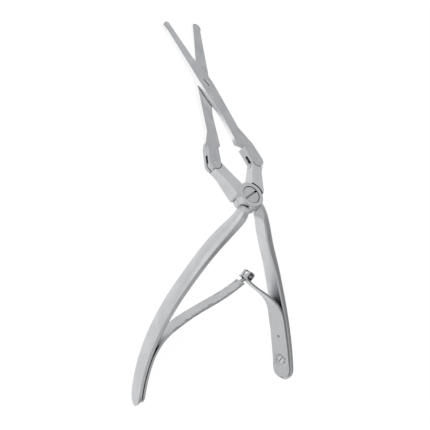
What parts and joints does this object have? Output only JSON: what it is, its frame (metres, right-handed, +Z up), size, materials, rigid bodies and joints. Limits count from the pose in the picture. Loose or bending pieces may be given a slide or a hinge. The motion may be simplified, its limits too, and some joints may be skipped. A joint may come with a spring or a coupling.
{
  "type": "septum scissors",
  "caption": "Angled double action septum scissors: crossed levers on a slotted screw drive crossed blades, opened by interlocked leaf springs.",
  "frame": {"origin": "centre of the footprint, on the surface that the blade tips and the handle ends stand on", "axes": "+Y along the instrument from the handle ends to the blade tips, +Z up out of the surface it stands on, +X to the side of the handle that carries the upper lever"},
  "size_m": [0.1062, 0.2042, 0.0554],
  "materials": {
    "satin_steel": "satin brushed stainless steel of the handles",
    "ground_blade_steel": "satin stainless steel, ground lengthwise",
    "spring_steel": "smooth satin spring strip",
    "screw_steel": "turned stainless steel"
  },
  "bodies": {
    "rear_lever": {"rear_lever": "satin_steel", "pivot_screw": "screw_steel", "left_leaf_spring": "spring_steel", "left_spring_screw": "screw_steel", "left_spring_dowel": "screw_steel"},
    "front_lever": {"front_lever": "satin_steel", "right_leaf_spring": "spring_steel", "right_spring_screw": "screw_steel", "right_spring_dowel": "screw_steel"},
    "front_blade": {"front_blade": "ground_blade_steel", "right_arm_pin": "screw_steel", "blade_screw": "screw_steel"},
    "rear_blade": {"rear_blade": "ground_blade_steel", "left_arm_pin": "screw_steel"}
  },
  "joints": [
    {"name": "handle_hinge", "type": "hinge", "parent": "rear_lever", "child": "front_lever", "pos_m": [0, 0.00203, 0.04866], "axis": [0, -0.4285, -0.9036], "range_deg": [0, 53.1], "stiffness_Nm_per_rad": 0.6, "springref_deg": -14.32, "deforming": ["left_leaf_spring", "right_leaf_spring"]},
    {"name": "right_arm_pivot", "type": "hinge", "parent": "rear_lever", "child": "front_blade", "pos_m": [0.0142, 0.02062, 0.03984], "axis": [0, -0.4285, -0.9036], "range_deg": [0, 38.6]},
    {"name": "blade_hinge", "type": "hinge", "parent": "front_blade", "child": "rear_blade", "pos_m": [0, 0.06509, 0.01875], "axis": [0, 0.4285, 0.9036], "range_deg": [0, 24.1]}
  ],
  "couplings": [
    {"joint": "right_arm_pivot", "follows": "handle_hinge", "ratio": 0.72626},
    {"joint": "blade_hinge", "follows": "handle_hinge", "ratio": 0.45253}
  ]
}
